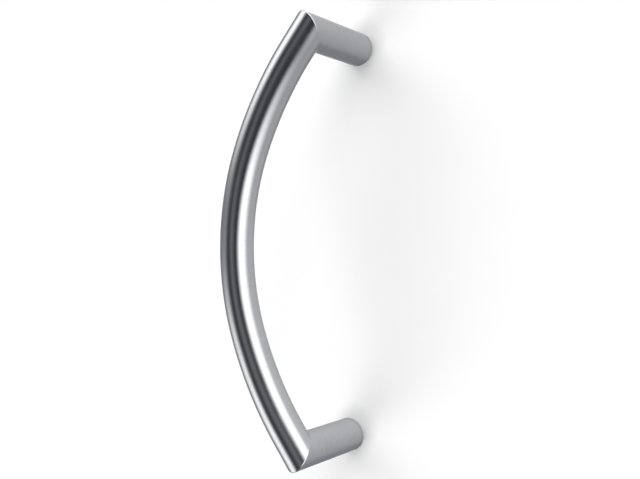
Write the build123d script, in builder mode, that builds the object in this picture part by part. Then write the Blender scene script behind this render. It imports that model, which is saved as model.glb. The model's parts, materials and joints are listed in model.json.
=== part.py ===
"""Bow-shaped door pull handle: a bent tube mitred to two straight posts, with threaded bushes.

Frame: millimetres, +Z up, +Y into the door. The door's face is y = 0, and the origin lies midway
between the two fixing holes. The grip bulges towards -X, in a plane parallel to the door.
"""
from build123d import *
import math
import os

# The tube, and where the door fixes it
fixing_centres = 225.0
bar_d = 19.0
wall = 1.5
post_reach = 53.0
foot_chamfer = 0.5

# The bow: a tighter middle arc runs into a flatter arc at each end
bow_offset = 45.0
middle_radius = 150.0
middle_half_angle = 20.0

# Straight tube left between the bend and the inner corner of the mitre
straight_end = 1.0

# The flat that is ground along the sharp outer corner of each mitre: its width at the tip, and how
# far round the tube it reaches from there, in degrees
arris_flat = 0.7
arris_reach = 62.0

# The threaded bush in each post
bush_length = 20.0
bush_clearance = 0.05
bush_edge = 0.3
bush_lead_in = 1.0
tap_drill_d = 6.8
tap_mouth_rim = 0.7
tap_mouth_angle = 120.0

bar_r = bar_d / 2
bore_r = bar_r - wall
half_angle = math.radians(middle_half_angle)
into_door = Vector(0, 1, 0)

# Upper half of the bow's centre line, in the plane that holds the grip. A straight lead follows the
# end arc, so that the mitre cut stays within a straight piece of tube.
corner = Vector(0, -post_reach, fixing_centres / 2)
bend = Vector(
    middle_radius * (1 - math.cos(half_angle)) - bow_offset,
    -post_reach,
    middle_radius * math.sin(half_angle),
)
bend_direction = Vector(math.sin(half_angle), 0, math.cos(half_angle))
mitre_lead = bar_r + straight_end

# Both tangents of the end arc are equally long: one starts at the bend, the other meets the lead
to_corner = corner - bend
tangent_length = (to_corner.dot(to_corner) - mitre_lead**2) / (
    2 * (to_corner.dot(bend_direction) + mitre_lead)
)
arc_vertex = bend + bend_direction * tangent_length
lead = (corner - arc_vertex).normalized()
lead_start = corner - lead * mitre_lead
lead_overrun = corner + lead * bar_d


def lower(vector):
    """The same point or direction on the lower half of the handle."""
    return Vector(vector.X, vector.Y, -vector.Z)


def mitre_plane(corner, lead):
    """The plane of a mitre cut: x points out of the corner, z points into the post."""
    return Plane(corner, x_dir=lead - into_door, z_dir=lead + into_door)


def grind_arris(mitre):
    """Grind the mitre's outer corner to a flat that dies out to both sides of the tip.

    The ground ellipse lies inside the mitre's own ellipse at the tip, and crosses it at the reach.
    """
    reach = math.radians(arris_reach)
    section_r = bar_r / mitre.z_dir.dot(into_door)
    ground_r = section_r - arris_flat / 2
    side_r = bar_r * math.sin(reach) / math.sqrt(1 - (section_r * math.cos(reach) / ground_r) ** 2)
    with BuildSketch(mitre) as ground_away:
        Rectangle(2 * bar_d, 2 * bar_d, align=(Align.MIN, Align.CENTER))
        Ellipse(side_r, ground_r, rotation=90, mode=Mode.SUBTRACT)
    extrude(ground_away.sketch, amount=arris_flat, both=True, mode=Mode.SUBTRACT)


os.makedirs("parts", exist_ok=True)

# Grip: one tube bent to the bow and cut to a mitre at both ends
with BuildPart() as grip_bow:
    with BuildLine() as bow_line:
        upper_lead = Line(lead_overrun, lead_start)
        upper_arc = TangentArc(upper_lead @ 1, bend, tangent=upper_lead % 1)
        middle_arc = TangentArc(upper_arc @ 1, lower(bend), tangent=upper_arc % 1)
        lower_arc = TangentArc(middle_arc @ 1, lower(lead_start), tangent=middle_arc % 1)
        Line(lower_arc @ 1, lower(lead_overrun))
    with BuildSketch(Plane(lead_overrun, x_dir=into_door, z_dir=-lead)):
        Circle(bar_r)
        Circle(bore_r, mode=Mode.SUBTRACT)
    sweep(path=bow_line.line)
    for mitre in (mitre_plane(corner, lead), mitre_plane(lower(corner), lower(lead))):
        split(bisect_by=mitre, keep=Keep.BOTTOM)
        grind_arris(mitre)
grip_bow.part.label = "grip_bow"
export_step(grip_bow.part, "parts/grip_bow.step")

for level, post_corner, post_lead in (
    ("upper", corner, lead),
    ("lower", lower(corner), lower(lead)),
):
    foot = Plane(post_corner + into_door * post_reach, x_dir=-post_lead, z_dir=-into_door)
    mitre = mitre_plane(post_corner, post_lead)

    # Post: straight tube from the door to the mitre
    with BuildPart() as post:
        with BuildSketch(foot):
            Circle(bar_r)
            Circle(bore_r, mode=Mode.SUBTRACT)
        extrude(amount=post_reach + bar_d)
        split(bisect_by=mitre, keep=Keep.TOP)
        grind_arris(mitre)
        foot_rim = post.edges().group_by(Axis.Y)[-1].sort_by(SortBy.RADIUS)[-1]
        chamfer(foot_rim, foot_chamfer)
    post.part.label = f"{level}_post"
    export_step(post.part, f"parts/{level}_post.step")

    # Bush: turned plug in the post's open end, drilled and tapped right through
    bush_r = bore_r - bush_clearance
    tap_r = tap_drill_d / 2
    mouth_r = tap_r + tap_mouth_rim
    mouth_depth = tap_mouth_rim / math.tan(math.radians(tap_mouth_angle / 2))
    with BuildPart() as bush:
        with BuildSketch(Plane(foot.origin, x_dir=(1, 0, 0), z_dir=(0, 0, 1))):
            with BuildLine():
                Polyline(
                    (mouth_r, 0),
                    (bush_r - bush_edge, 0),
                    (bush_r, -bush_edge),
                    (bush_r, bush_lead_in - bush_length),
                    (bush_r - bush_lead_in, -bush_length),
                    (mouth_r, -bush_length),
                    (tap_r, mouth_depth - bush_length),
                    (tap_r, -mouth_depth),
                    close=True,
                )
            make_face()
        revolve(axis=Axis(foot.origin, foot.z_dir))
    bush.part.label = f"{level}_bush"
    export_step(bush.part, f"parts/{level}_bush.step")
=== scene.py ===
"""Blender scene of the door pull handle: satin tube, ground mitres, turned and tapped bushes.

Metres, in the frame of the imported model: +Z up, +Y into the door, whose face is y = 0.
"""
import json
import math
from typing import NamedTuple

import bpy
from mathutils import Matrix, Vector


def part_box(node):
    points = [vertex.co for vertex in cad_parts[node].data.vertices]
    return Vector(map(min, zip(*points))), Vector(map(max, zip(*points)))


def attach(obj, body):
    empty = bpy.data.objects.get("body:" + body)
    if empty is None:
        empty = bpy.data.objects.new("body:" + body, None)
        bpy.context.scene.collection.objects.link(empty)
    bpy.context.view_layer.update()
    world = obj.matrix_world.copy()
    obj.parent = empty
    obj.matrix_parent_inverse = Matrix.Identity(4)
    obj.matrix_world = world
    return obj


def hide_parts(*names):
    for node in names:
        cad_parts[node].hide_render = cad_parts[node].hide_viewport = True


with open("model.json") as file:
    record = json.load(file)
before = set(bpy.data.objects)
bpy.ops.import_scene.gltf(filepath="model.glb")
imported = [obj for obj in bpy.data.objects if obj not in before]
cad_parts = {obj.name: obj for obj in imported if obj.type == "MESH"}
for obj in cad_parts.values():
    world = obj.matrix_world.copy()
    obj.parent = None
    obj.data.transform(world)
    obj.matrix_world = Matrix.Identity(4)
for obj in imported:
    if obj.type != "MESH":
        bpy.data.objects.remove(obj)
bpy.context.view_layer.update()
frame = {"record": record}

MM = 0.001

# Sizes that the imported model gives
mounts = {mount["name"]: mount for mount in frame["record"]["mounts"]}
post_low, post_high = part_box("upper_post")
bow_low, bow_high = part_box("grip_bow")
bush_low, bush_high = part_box("upper_bush")
FIXING_Z = mounts["door_fixings"]["dims"]["spacing_y_mm"] * MM / 2
TAP_R = mounts["upper_thread"]["dims"]["r_mm"] * MM
BAR_R = (post_high.x - post_low.x) / 2
POST_REACH = -(bow_low.y + bow_high.y) / 2
BOW_OFFSET = -bow_low.x - BAR_R
BUSH_R = (bush_high.x - bush_low.x) / 2
BUSH_LENGTH = bush_high.y - bush_low.y

# Sizes that are the same as in the solids, and can't be read from a box
WALL = 1.5 * MM
BORE_R = BAR_R - WALL
MIDDLE_RADIUS = 150 * MM
MIDDLE_HALF_ANGLE = math.radians(20)
STRAIGHT_END = 1.0 * MM
MITRE_LEAD = BAR_R + STRAIGHT_END
ARRIS_FLAT = 0.7 * MM
ARRIS_REACH = math.radians(62)
FOOT_CHAMFER = 0.5 * MM
BUSH_EDGE = 0.3 * MM
BUSH_LEAD_IN = 1.0 * MM
MOUTH_RIM = 0.7 * MM
MOUTH_R = TAP_R + MOUTH_RIM
MOUTH_SLOPE = math.tan(math.radians(60))

# The thread's own sizes: M8 x 1.25, with 60 degree flanks
THREAD_PITCH = 1.25 * MM
THREAD_ROOT_R = 4.0 * MM
THREAD_ROOT_FLAT = THREAD_PITCH / 8
FLANK_SLOPE = math.tan(math.radians(60))

# Half the width of the rolled edge that polishing leaves, and the least step between two rings
EDGE_ROLL = 0.15 * MM
LEAST_STEP = 0.02 * MM

# Facets
TUBE_SIDES = 128
BOW_STATIONS = 180
MITRE_STEPS = 6
POST_STEPS = 24
BUSH_SIDES = 72
STEPS_PER_TURN = 16

# Edges that turn by more degrees than this are shaded sharp
TUBE_SHARP_ANGLE = 50
BUSH_SHARP_ANGLE = 35

INTO_DOOR = Vector((0, 1, 0))
GRAIN_MAP = "grain"


def ring_angles(sides):
    """Evenly spaced angles round a section."""
    return [math.tau * i / sides for i in range(sides)]


def round_ring(centre, side, across, radius, length):
    """Points of a round section, each with its length along the tube."""
    return [
        (centre + side * (radius * math.cos(a)) + across * (radius * math.sin(a)), length)
        for a in ring_angles(TUBE_SIDES)
    ]


def mitred_rings(corner, along, across, side, radius, back, length, ground):
    """Rings of a straight tube from a square section, back behind the corner, to its mitre.

    along points to the corner, and the mitre halves the angle between along and across. On the
    outer wall the sharp corner is ground to a narrow flat, inside an ellipse that crosses the
    mitre's own.
    """
    outward = (along - across) / math.sqrt(2)
    mitre_long = math.sqrt(2) * radius
    ground_long = mitre_long - ARRIS_FLAT / 2
    ground_wide = radius * math.sin(ARRIS_REACH) / math.sqrt(
        1 - (mitre_long * math.cos(ARRIS_REACH) / ground_long) ** 2)
    section, ends, seam = [], [], []
    for a in ring_angles(TUBE_SIDES):
        wide = radius * math.cos(a)
        high = radius * math.sin(a)
        end, edge = -high, -math.sqrt(2) * high
        if ground:
            flat_edge = ground_long * math.sqrt(1 - (wide / ground_wide) ** 2)
            if edge > flat_edge:
                end, edge = math.sqrt(2) * flat_edge + high, flat_edge
        section.append(corner + side * wide + across * high)
        ends.append(end)
        seam.append((corner + side * wide + outward * edge, length + end + ARRIS_FLAT / 2))
    places = [
        [-back + (end - EDGE_ROLL + back) * step / MITRE_STEPS for end in ends]
        for step in range(MITRE_STEPS + 1)
    ]
    places.append([end - LEAST_STEP for end in ends])
    rings = [[(p + along * t, length + t) for p, t in zip(section, place)] for place in places]
    return rings + [seam]


def bow_shape():
    """Direction of the straight leads, turn and radius of the end arcs, as in the solids."""
    heading = MIDDLE_HALF_ANGLE
    bend = Vector((MIDDLE_RADIUS * (1 - math.cos(heading)) - BOW_OFFSET, -POST_REACH,
                   MIDDLE_RADIUS * math.sin(heading)))
    direction = Vector((math.sin(heading), 0, math.cos(heading)))
    to_corner = Vector((0, -POST_REACH, FIXING_Z)) - bend
    tangent = (to_corner.length_squared - MITRE_LEAD**2) / (
        2 * (to_corner.dot(direction) + MITRE_LEAD))
    lead = (to_corner - direction * tangent).normalized()
    turn = direction.angle(lead)
    return lead, turn, tangent / math.tan(turn / 2)


LEAD, END_TURN, END_RADIUS = bow_shape()


def bow_station(heading):
    """Point, direction and length along the bow where it heads that far from the vertical."""
    middle = min(abs(heading), MIDDLE_HALF_ANGLE)
    x = MIDDLE_RADIUS * (1 - math.cos(middle)) - BOW_OFFSET
    z = MIDDLE_RADIUS * math.sin(middle)
    length = MIDDLE_RADIUS * middle
    if abs(heading) > middle:
        x += END_RADIUS * (math.cos(middle) - math.cos(heading))
        z += END_RADIUS * (math.sin(abs(heading)) - math.sin(middle))
        length += END_RADIUS * (abs(heading) - middle)
    point = Vector((x, -POST_REACH, math.copysign(z, heading)))
    return point, Vector((math.sin(heading), 0, math.cos(heading))), math.copysign(length, heading)


def bow_rings():
    """The bow's outer wall from the lower mitre to the upper one, then its bore back again."""
    full_heading = MIDDLE_HALF_ANGLE + END_TURN
    walls = []
    for radius, ground in ((BAR_R, True), (BORE_R, False)):
        wall = []
        for i in range(1, BOW_STATIONS):
            point, direction, length = bow_station(full_heading * (2 * i / BOW_STATIONS - 1))
            side = Vector((direction.z, 0, -direction.x))
            wall.append(round_ring(point, side, INTO_DOOR, radius, length))
        length = bow_station(full_heading)[2] + MITRE_LEAD
        for sign in (-1, 1):
            corner = Vector((0, -POST_REACH, sign * FIXING_Z))
            along = Vector((LEAD.x, 0, sign * LEAD.z))
            side = Vector((LEAD.z, 0, -sign * LEAD.x))
            end = mitred_rings(corner, along, INTO_DOOR, side, radius, MITRE_LEAD, length, ground)
            end = [[(point, sign * u) for point, u in ring] for ring in end]
            wall = end[::-1] + wall if sign < 0 else wall + end
        walls.append(wall)
    outer, bore = walls
    return outer + bore[::-1]


def post_rings(sign):
    """One post's outer wall from the foot to the mitre, then its bore back to the foot."""
    corner = Vector((0, -POST_REACH, sign * FIXING_Z))
    side = Vector((-sign * LEAD.z, 0, LEAD.x))
    across = -Vector((LEAD.x, 0, sign * LEAD.z))
    square_end = MITRE_LEAD
    foot = corner + INTO_DOOR * POST_REACH
    walls = []
    for radius, foot_cut, ground in ((BAR_R, FOOT_CHAMFER, True), (BORE_R, 0, False)):
        wall = [round_ring(foot, side, across, radius - foot_cut, -POST_REACH)]
        run = POST_REACH - foot_cut - square_end
        depths = [foot_cut + run * i / POST_STEPS for i in range(POST_STEPS)]
        for depth in [foot_cut, foot_cut + EDGE_ROLL] + depths[1:]:
            centre = foot - INTO_DOOR * depth
            wall.append(round_ring(centre, side, across, radius, depth - POST_REACH))
        wall += mitred_rings(corner, -INTO_DOOR, across, side, radius, square_end, 0, ground)
        walls.append(wall if ground else wall[1:])
    outer, bore = walls
    return outer + bore[::-1]


def thread_r(depth, angle):
    """Radius of the tapped hole at a depth below the face: crest, flank or root of the thread."""
    turn = (depth / THREAD_PITCH + angle / math.tau) % 1
    from_root = abs(turn - 0.5) * THREAD_PITCH - THREAD_ROOT_FLAT / 2
    crest_r = THREAD_ROOT_R - max(from_root, 0) * FLANK_SLOPE
    from_face = min(depth, BUSH_LENGTH - depth)
    return max(crest_r, TAP_R, MOUTH_R - from_face * MOUTH_SLOPE)


def bush_rings(sign):
    """One bush: its outside from the mouth to the far end, then the tapped hole back again."""
    foot = Vector((0, 0, sign * FIXING_Z))
    x_axis, z_axis = Vector((1, 0, 0)), Vector((0, 0, 1))
    outside = [
        (BUSH_R - BUSH_EDGE, 0),
        (BUSH_R, BUSH_EDGE),
        (BUSH_R, BUSH_LENGTH - BUSH_LEAD_IN),
        (BUSH_R - BUSH_LEAD_IN, BUSH_LENGTH),
    ]
    rings, length = [], MOUTH_R
    last = (MOUTH_R, 0)
    for radius, depth in outside:
        length += math.dist(last, (radius, depth))
        last = (radius, depth)
        rings.append([
            (foot + x_axis * (radius * math.cos(a)) + z_axis * (radius * math.sin(a))
             - INTO_DOOR * depth, length)
            for a in ring_angles(BUSH_SIDES)
        ])
    steps = round(BUSH_LENGTH / THREAD_PITCH * STEPS_PER_TURN)
    for i in range(steps + 1):
        depth = BUSH_LENGTH * (1 - i / steps)
        ring = []
        for a in ring_angles(BUSH_SIDES):
            radius = thread_r(depth, a)
            point = foot + x_axis * (radius * math.cos(a)) + z_axis * (radius * math.sin(a))
            ring.append((point - INTO_DOOR * depth, MOUTH_R - depth))
        rings.append(ring)
    return rings


def wall_piece(name, rings, radius, node, material, sharp_angle):
    """A closed mesh from rings, each joined to the next and the last to the first.

    Its UV map holds the length along and the distance round, in metres, for the material's grain.
    """
    sides = len(rings[0])
    faces, corners = [], []
    for i, ring in enumerate(rings):
        other = (i + 1) % len(rings)
        for j in range(sides):
            k = (j + 1) % sides
            faces.append((i * sides + j, i * sides + k, other * sides + k, other * sides + j))
            v0, v1 = (math.tau * radius * step / sides for step in (j, j + 1))
            corners += [(ring[j][1], v0), (ring[k][1], v1),
                        (rings[other][k][1], v1), (rings[other][j][1], v0)]
    mesh = bpy.data.meshes.new(name)
    mesh.from_pydata([point for ring in rings for point, _ in ring], [], faces)
    uv = mesh.uv_layers.new(name=GRAIN_MAP)
    uv.data.foreach_set("uv", [value for corner in corners for value in corner])
    mesh.shade_smooth()
    mesh.set_sharp_from_angle(angle=math.radians(sharp_angle))
    mesh.materials.append(material)
    piece = bpy.data.objects.new(name, mesh)
    bpy.context.scene.collection.objects.link(piece)
    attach(piece, "root")
    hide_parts(node)
    return piece


class Shader:
    """A material's or world's node tree, with short ways to add and join nodes."""

    def __init__(self, owner):
        owner.use_nodes = True
        self.tree = owner.node_tree
        self.tree.nodes.clear()

    def add(self, kind, inputs=None, **settings):
        """Add a node. A value in inputs is a number, a colour, or another node's output to join."""
        node = self.tree.nodes.new(kind)
        for name, value in settings.items():
            setattr(node, name, value)
        for socket, value in (inputs or {}).items():
            if isinstance(value, bpy.types.NodeSocket):
                self.tree.links.new(value, node.inputs[socket])
            else:
                node.inputs[socket].default_value = value
        return node

    def math(self, operation, *values):
        """The output of a Math node."""
        return self.add("ShaderNodeMath", dict(enumerate(values)), operation=operation).outputs[0]

    def ramp(self, value, low, high, out_low, out_high, smooth=False):
        """value mapped from low..high to out_low..out_high, and held beyond."""
        kind = "SMOOTHSTEP" if smooth else "LINEAR"
        return self.add("ShaderNodeMapRange", {
            "Value": value, "From Min": low, "From Max": high,
            "To Min": out_low, "To Max": out_high,
        }, interpolation_type=kind).outputs["Result"]

    def noise(self, vector, scale, detail):
        """The grey output of a noise texture."""
        return self.add("ShaderNodeTexNoise", {
            "Vector": vector, "Scale": scale, "Detail": detail,
        }).outputs["Fac"]


# The steel's coarse lines against its fine ones, its patches of wear, and its noise's usual range
COARSE_WIDTH = 5
COARSE_RUN = 2
PATCH_SIZE = 14 * MM
NOISE_RANGE = (0.36, 0.64)
GRAZING_TINT = (0.76, 0.77, 0.79, 1)


def ground_steel(name, radius, light, dark, roughness, spread, spacing, run, depth, anisotropy):
    """Stainless steel with fine lines round a tube of this radius, or rings on a turned face.

    The colour lies between light and dark, and the roughness within spread of its middle. spacing
    and run are the lines' pitch and length, and depth is how deep they are.
    """
    material = bpy.data.materials.new(name)
    shader = Shader(material)
    grain_map = shader.add("ShaderNodeUVMap", uv_map=GRAIN_MAP).outputs["UV"]
    along, round_tube, _ = shader.add("ShaderNodeSeparateXYZ", {0: grain_map}).outputs
    angle = shader.math("DIVIDE", round_tube, radius)
    place = shader.add("ShaderNodeCombineXYZ", {
        "X": along,
        "Y": shader.math("MULTIPLY", shader.math("COSINE", angle), radius),
        "Z": shader.math("MULTIPLY", shader.math("SINE", angle), radius),
    }).outputs["Vector"]

    def lines(pitch, reach, detail):
        """Noise drawn out round the tube."""
        stretched = shader.add("ShaderNodeMapping", {
            "Vector": place, "Scale": (1 / pitch, 1 / reach, 1 / reach),
        }).outputs["Vector"]
        return shader.noise(stretched, 1.0, detail)

    def blend(first, second, share):
        """Two noises mixed, with this share of the second."""
        return shader.add("ShaderNodeMix", {0: share, 2: first, 3: second}).outputs[0]

    fine = lines(spacing, run, detail=3.0)
    coarse = lines(spacing * COARSE_WIDTH, run * COARSE_RUN, detail=4.0)
    on_object = shader.add("ShaderNodeTexCoord").outputs["Object"]
    patches = shader.noise(on_object, 1 / PATCH_SIZE, detail=2.0)
    grain = blend(fine, coarse, share=0.35)
    wear = blend(coarse, patches, share=0.5)

    tone = shader.ramp(blend(grain, patches, share=0.3), *NOISE_RANGE, 0, 1)
    colour = shader.add("ShaderNodeMix", {0: tone, 6: dark, 7: light}, data_type="RGBA")
    rough = shader.ramp(
        blend(grain, wear, share=0.5), *NOISE_RANGE, roughness + spread, roughness - spread)
    bump = shader.add("ShaderNodeBump", {"Strength": 1.0, "Distance": depth, "Height": grain})
    tangent = shader.add("ShaderNodeTangent", direction_type="UV_MAP", uv_map=GRAIN_MAP)
    surface = shader.add("ShaderNodeBsdfPrincipled", {
        "Metallic": 1.0,
        "Anisotropic": anisotropy,
        "Specular Tint": GRAZING_TINT,
        "Base Color": colour.outputs[2],
        "Roughness": rough,
        "Normal": bump.outputs["Normal"],
        "Tangent": tangent.outputs["Tangent"],
    })
    shader.add("ShaderNodeOutputMaterial", {"Surface": surface.outputs["BSDF"]})
    return material


satin = ground_steel(
    "satin_steel", BAR_R, light=(0.534, 0.540, 0.558, 1), dark=(0.488, 0.494, 0.511, 1),
    roughness=0.18, spread=0.04, spacing=0.24 * MM, run=6 * MM, depth=0.006 * MM, anisotropy=0.5)
turned = ground_steel(
    "turned_steel", BUSH_R, light=(0.53, 0.53, 0.54, 1), dark=(0.41, 0.41, 0.42, 1),
    roughness=0.28, spread=0.06, spacing=0.20 * MM, run=60 * MM, depth=0.012 * MM, anisotropy=0.4)

wall_piece(
    "satin_bow", bow_rings(), BAR_R, "grip_bow", satin, TUBE_SHARP_ANGLE)
for level, sign in (("upper", 1), ("lower", -1)):
    wall_piece(
        f"satin_{level}_post", post_rings(sign), BAR_R, f"{level}_post",
        satin, TUBE_SHARP_ANGLE)
    wall_piece(
        f"tapped_{level}_bush", bush_rings(sign), BUSH_R, f"{level}_bush",
        turned, BUSH_SHARP_ANGLE)


def show_only_to(thing, *kinds):
    """Let only these kinds of ray see an object."""
    for kind in ("camera", "diffuse", "glossy", "transmission", "shadow", "volume_scatter"):
        setattr(thing, f"visible_{kind}", kind in kinds)


class Shade(NamedTuple):
    """A round shade on the door.

    It takes the share depth of the light out to inner from its middle, and fades away at outer.
    """
    x: float
    z: float
    inner: float
    outer: float
    depth: float


# Painted shade that the steel's reflections meet through the door near the feet, and painted shadow
# on the door's paint beside the feet
REFLECTED_SHADES = (
    Shade(0, FIXING_Z, BAR_R, BAR_R + 3 * MM, 0.15),
    Shade(0, -FIXING_Z, BAR_R, BAR_R + 3 * MM, 0.15),
    Shade(30 * MM, FIXING_Z, 10 * MM, 60 * MM, 0.12),
)
PAINTED_SHADES = (
    Shade(3 * MM, FIXING_Z + 3 * MM, 6 * MM, 16 * MM, 0.17),
    Shade(3 * MM, 3 * MM - FIXING_Z, 6 * MM, 16 * MM, 0.17),
)


def share_left(shader, place, shades, share):
    """What these shades leave of a share of light, at a place on the door."""
    for shade in shades:
        middle = (shade.x, shade.z, 0)
        apart = shader.add("ShaderNodeVectorMath", {0: place, 1: middle}, operation="DISTANCE")
        left = shader.ramp(apart.outputs["Value"], shade.inner, shade.outer, 1 - shade.depth, 1)
        share = shader.math("MULTIPLY", share, left)
    return share


def door_stand_in(albedo=0.94, half_size=1.5, gap=0.2 * MM, hole_r=BAR_R - 0.6 * MM):
    """A pale door face that takes the handle's shadow, bored behind the posts.

    It is clear from behind, so that the feet and the bushes can be looked at. The steel's
    reflections pass through it to the studio, and only meet the shades near the feet.
    """
    outline = bpy.data.curves.new("door", "CURVE")
    outline.dimensions = "2D"
    outline.fill_mode = "BOTH"
    loops = [[(x * half_size, z * half_size) for x, z in ((-1, -1), (1, -1), (1, 1), (-1, 1))]]
    for z in (-FIXING_Z, FIXING_Z):
        loops.append([
            (hole_r * math.cos(a), z + hole_r * math.sin(a)) for a in ring_angles(TUBE_SIDES)])
    for loop in loops:
        spline = outline.splines.new("POLY")
        spline.points.add(len(loop) - 1)
        spline.use_cyclic_u = True
        for point, (x, z) in zip(spline.points, loop):
            point.co = (x, z, 0, 1)
    door = bpy.data.objects.new("door", outline)
    door.matrix_world = Matrix.Translation(INTO_DOOR * gap) @ Matrix.Rotation(math.pi / 2, 4, "X")
    bpy.context.scene.collection.objects.link(door)
    show_only_to(door, "camera", "glossy")

    material = bpy.data.materials.new("door_paint")
    shader = Shader(material)
    reflected = shader.add("ShaderNodeLightPath").outputs["Is Glossy Ray"]
    behind = shader.add("ShaderNodeNewGeometry").outputs["Backfacing"]
    place = shader.add("ShaderNodeTexCoord").outputs["Object"]
    passed = share_left(shader, place, REFLECTED_SHADES, 1.0)
    passed = shader.add("ShaderNodeMix", {0: reflected, 2: 1.0, 3: passed}).outputs[0]
    clear = shader.add("ShaderNodeBsdfTransparent", {"Color": passed})
    paint = shader.add("ShaderNodeBsdfDiffuse", {
        "Color": share_left(shader, place, PAINTED_SHADES, albedo)})
    face = shader.add("ShaderNodeMixShader", {
        0: shader.math("MAXIMUM", reflected, behind), 1: paint.outputs[0], 2: clear.outputs[0]})
    shader.add("ShaderNodeOutputMaterial", {"Surface": face.outputs[0]})
    outline.materials.append(material)


class Card(NamedTuple):
    """A lit or dark board of the studio, by its direction from the handle, in degrees.

    Azimuth 0 is straight out from the door and 90 is towards +X; elevation is above the horizon.
    The board leans by lean degrees of azimuth for each degree of elevation. At level 1 it is white.
    """
    azimuth: float
    width: float
    side_softness: float
    elevation: float
    height: float
    end_softness: float
    level: float
    lean: float = 0.0


# The width or height of a card that has no edge that way
NO_EDGE = 360

# Behind the cards the level rises from the floor's, straight down, to the sky's at this elevation
SKY_ELEVATION = 76
FLOOR_LEVEL, SKY_LEVEL = 0.475, 0.92

# Later cards stand in front of earlier ones
CARDS = {
    "back_shade": Card(195, 60, 30, -50, 92, 16, 0.40),
    "left_softbox": Card(-56.5, 47, 40, 0, NO_EDGE, 10, 1.72, lean=-0.08),
    "high_left_softbox": Card(-54, 52, 40, 50, 97, 10, 2.05, lean=-0.06),
    "left_gap": Card(-68, 96, 40, 2.2, 26, 22, 0.32),
    "left_edge": Card(-118, 44, 20, 0, NO_EDGE, 10, 0.385),
    "right_softbox": Card(49, 87, 46, 60, 180, 40, 2.3, lean=-0.02),
    "low_right_gap": Card(50, 26, 24, -50, 18, 16, 0.45),
    "front_flag": Card(1.5, 85, 34, -60, 192, 34, 0.042, lean=0.1),
    "front_strip": Card(-1, 22, 30, 15, 50, 30, 0.26),
    "top_softbox": Card(0, NO_EDGE, 1, 90, 64, 10, 1.8),
}


def studio_level(shader, place):
    """How bright the studio is in the direction of place, seen from the handle."""
    unit = shader.add("ShaderNodeVectorMath", {0: place}, operation="NORMALIZE").outputs[0]
    x, y, z = shader.add("ShaderNodeSeparateXYZ", {0: unit}).outputs
    degrees = 180 / math.pi
    outwards = shader.math("MULTIPLY", y, -1.0)
    azimuth = shader.math("MULTIPLY", shader.math("ARCTAN2", x, outwards), degrees)
    elevation = shader.math("MULTIPLY", shader.math("ARCSINE", z), degrees)

    def cover(angle, centre, extent, soft):
        """1 inside the card's edges along one angle, and 0 outside them."""
        offset = shader.math("WRAP", shader.math("SUBTRACT", angle, centre), 180.0, -180.0)
        apart = shader.math("ABSOLUTE", offset)
        return shader.ramp(apart, (extent - soft) / 2, (extent + soft) / 2, 1, 0, smooth=True)

    level = shader.ramp(
        elevation, -90, SKY_ELEVATION, FLOOR_LEVEL, SKY_LEVEL, smooth=True)
    for card in CARDS.values():
        across = azimuth
        if card.lean:
            shift = shader.math("MULTIPLY", elevation, card.lean)
            across = shader.math("ADD", azimuth, shift)
        masks = []
        if card.width < NO_EDGE:
            masks.append(cover(across, card.azimuth, card.width, card.side_softness))
        if card.height < NO_EDGE:
            masks.append(cover(elevation, card.elevation, card.height, card.end_softness))
        mask = masks[0] if len(masks) == 1 else shader.math("MULTIPLY", *masks)
        level = shader.add("ShaderNodeMix", {0: mask, 2: level, 3: card.level}).outputs[0]
    return level


# The studio is bluer where it is dark: fully at the first of these levels, and not at the second
SHADE_TINT = (0.92, 0.96, 1.03, 1)
TINTED_LEVELS = (0.05, 0.8)


def light_tent(radius=2.0):
    """A ball round the handle that only its reflections see, painted with the studio's cards."""
    bpy.ops.mesh.primitive_uv_sphere_add(radius=radius, segments=64, ring_count=32)
    tent = bpy.context.object
    tent.name = "light_tent"
    show_only_to(tent, "glossy")

    material = bpy.data.materials.new("tent_light")
    shader = Shader(material)
    level = studio_level(shader, shader.add("ShaderNodeTexCoord").outputs["Object"])
    dim = shader.ramp(level, *TINTED_LEVELS, 1, 0)
    tint = shader.add("ShaderNodeMix", {
        0: dim, 6: (1, 1, 1, 1), 7: SHADE_TINT}, data_type="RGBA").outputs[2]
    glow = shader.add("ShaderNodeEmission", {"Color": tint, "Strength": level})
    shader.add("ShaderNodeOutputMaterial", {"Surface": glow.outputs[0]})
    tent.data.materials.append(material)


class Lamp(NamedTuple):
    """A soft round light that only the door sees.

    Its direction is in degrees, as for a card. Its level is its middle's, and falls to nothing
    spread degrees from there.
    """
    azimuth: float
    elevation: float
    spread: float
    level: float


# The even light on the door from all round, and its lamps
DOOR_DOME = 0.46
DOOR_LAMPS = {
    "low_left": Lamp(-65, -50, 35, 5.0),
    "high_left": Lamp(-68, 46, 35, 4.9),
    "high_right": Lamp(30, 66, 35, 3.2),
}


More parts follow.
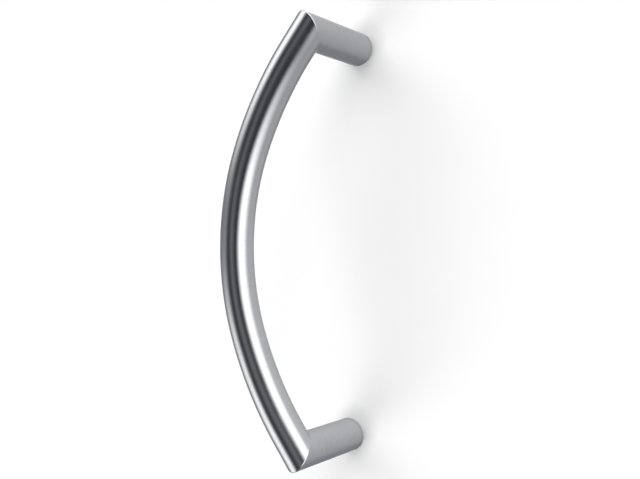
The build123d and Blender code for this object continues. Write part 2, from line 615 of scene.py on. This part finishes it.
def room_light():
    """The door's lamps, with white behind the handle for what is seen directly."""
    world = bpy.data.worlds.new("room")
    bpy.context.scene.world = world
    shader = Shader(world)
    place = shader.add("ShaderNodeTexCoord").outputs["Generated"]
    level = DOOR_DOME
    for lamp in DOOR_LAMPS.values():
        azimuth, elevation, spread = (math.radians(angle) for angle in lamp[:3])
        middle = (
            math.sin(azimuth) * math.cos(elevation),
            -math.cos(azimuth) * math.cos(elevation),
            math.sin(elevation),
        )
        towards = shader.add(
            "ShaderNodeVectorMath", {0: place, 1: middle}, operation="DOT_PRODUCT")
        glow = shader.ramp(towards.outputs["Value"], math.cos(spread), 1, 0, lamp.level)
        level = shader.math("ADD", level, glow)
    ray = shader.add("ShaderNodeLightPath").outputs
    seen = shader.math("MAXIMUM", ray["Is Camera Ray"], ray["Is Glossy Ray"])
    seen = shader.math("MAXIMUM", seen, ray["Is Transmission Ray"])
    strength = shader.add("ShaderNodeMix", {0: seen, 2: level, 3: 1.0}).outputs[0]
    light = shader.add("ShaderNodeBackground", {"Color": (1, 1, 1, 1), "Strength": strength})
    shader.add("ShaderNodeOutputWorld", {"Surface": light.outputs[0]})


# The camera: focal length in pixels of the frame's width, place in mm, yaw, pitch, roll in degrees
FRAME_WIDTH = 640
FOCAL_LENGTH = 874.6
CAMERA_PLACE = (262.9, -440.2, 5.3)
CAMERA_TURNS = (33.08, -0.46, -1.28)


def camera():
    """A camera at the photograph's view point and angle."""
    lens = bpy.data.cameras.new("camera")
    lens.lens = FOCAL_LENGTH / FRAME_WIDTH * lens.sensor_width
    lens.clip_start = 0.01
    view = bpy.data.objects.new("camera", lens)
    place = Vector(CAMERA_PLACE) * MM
    yaw, pitch, roll = (math.radians(angle) for angle in CAMERA_TURNS)
    view.matrix_world = (
        Matrix.Translation(place)
        @ Matrix.Rotation(yaw, 4, "Z")
        @ Matrix.Rotation(math.pi / 2 + pitch, 4, "X")
        @ Matrix.Rotation(-roll, 4, "Z")
    )
    bpy.context.scene.collection.objects.link(view)
    bpy.context.scene.camera = view


door_stand_in()
light_tent()
room_light()
camera()
bpy.context.scene.view_settings.view_transform = "Standard"
